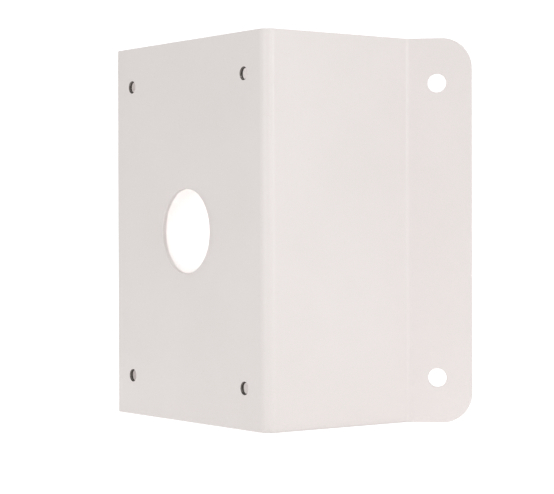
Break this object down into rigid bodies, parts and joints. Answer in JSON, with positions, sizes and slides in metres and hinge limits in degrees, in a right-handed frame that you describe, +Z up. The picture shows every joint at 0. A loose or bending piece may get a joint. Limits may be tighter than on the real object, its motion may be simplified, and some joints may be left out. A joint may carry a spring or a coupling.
{
  "type": "camera corner mount bracket",
  "caption": "Outside-corner mount bracket of folded sheet steel: a front plate with a cable hole for a camera base, side panels, and flanges that screw to the walls of a building corner.",
  "frame": {"origin": "middle of the bounding box in plan, at the level of the lower edge", "axes": "+Z up along the folds, -Y out of the front plate where the camera goes, +Y into the building corner, +X across to the right flange"},
  "size_m": [0.1722, 0.1044, 0.18],
  "materials": {
    "powder_coated_steel": "warm off-white powder coating, satin, with a fine orange peel"
  },
  "bodies": {
    "root": {"corner_bracket": "powder_coated_steel"}
  },
  "joints": []
}
